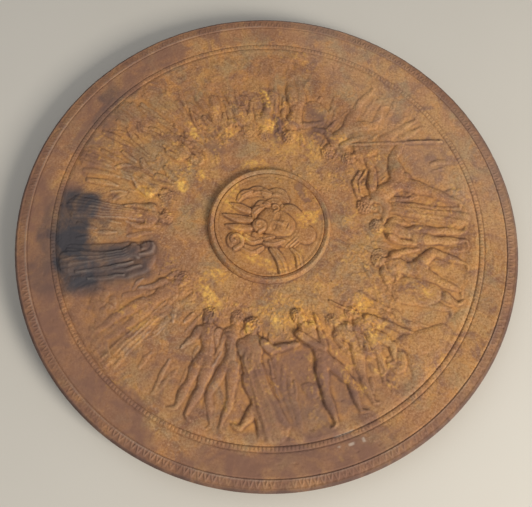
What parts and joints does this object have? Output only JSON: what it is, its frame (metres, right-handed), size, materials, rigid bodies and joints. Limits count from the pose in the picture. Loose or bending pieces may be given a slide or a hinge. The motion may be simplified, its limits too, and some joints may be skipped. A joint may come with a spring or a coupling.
{
  "type": "relief charger",
  "caption": "Shallow round cast-iron display dish with a relief face, a bolted-on portrait medallion, a foot ring and a swinging hanging ring on its back.",
  "frame": {"origin": "centre of the dish in the plane of its foot ring's lower face, which it rests on", "axes": "+Z out of the relief face; -X to the top of the dish as it hangs, where the hanging ring is; +Y to the right as seen from the front when it hangs"},
  "size_m": [0.46, 0.46, 0.0262],
  "materials": {
    "dish_iron": "rusted cast iron, brown with orange specks and a dark stain",
    "medallion_iron": "rusted cast iron, ochre in the hollows",
    "stud_iron": "rusted wrought iron",
    "dowel_iron": "rusted wrought iron",
    "washer_iron": "rusted wrought iron",
    "nut_iron": "rusted wrought iron",
    "strap_iron": "rusted forged iron",
    "screw_iron": "rusted iron",
    "ring_iron": "rusted forged iron"
  },
  "bodies": {
    "charger": {"dish_casting": "dish_iron", "medallion_casting": "medallion_iron", "medallion_stud": "stud_iron", "medallion_dowel": "dowel_iron", "stud_washer": "washer_iron", "stud_nut": "nut_iron", "hanger_strap": "strap_iron", "hanger_screw_left": "screw_iron", "hanger_screw_right": "screw_iron"},
    "hanging_ring": {"hanging_ring": "ring_iron"}
  },
  "joints": [
    {"name": "ring_swing", "type": "hinge", "parent": "charger", "child": "hanging_ring", "pos_m": [-0.17, 0, 0.006], "axis": [0, -1, 0], "range_deg": [-24, 169]}
  ]
}
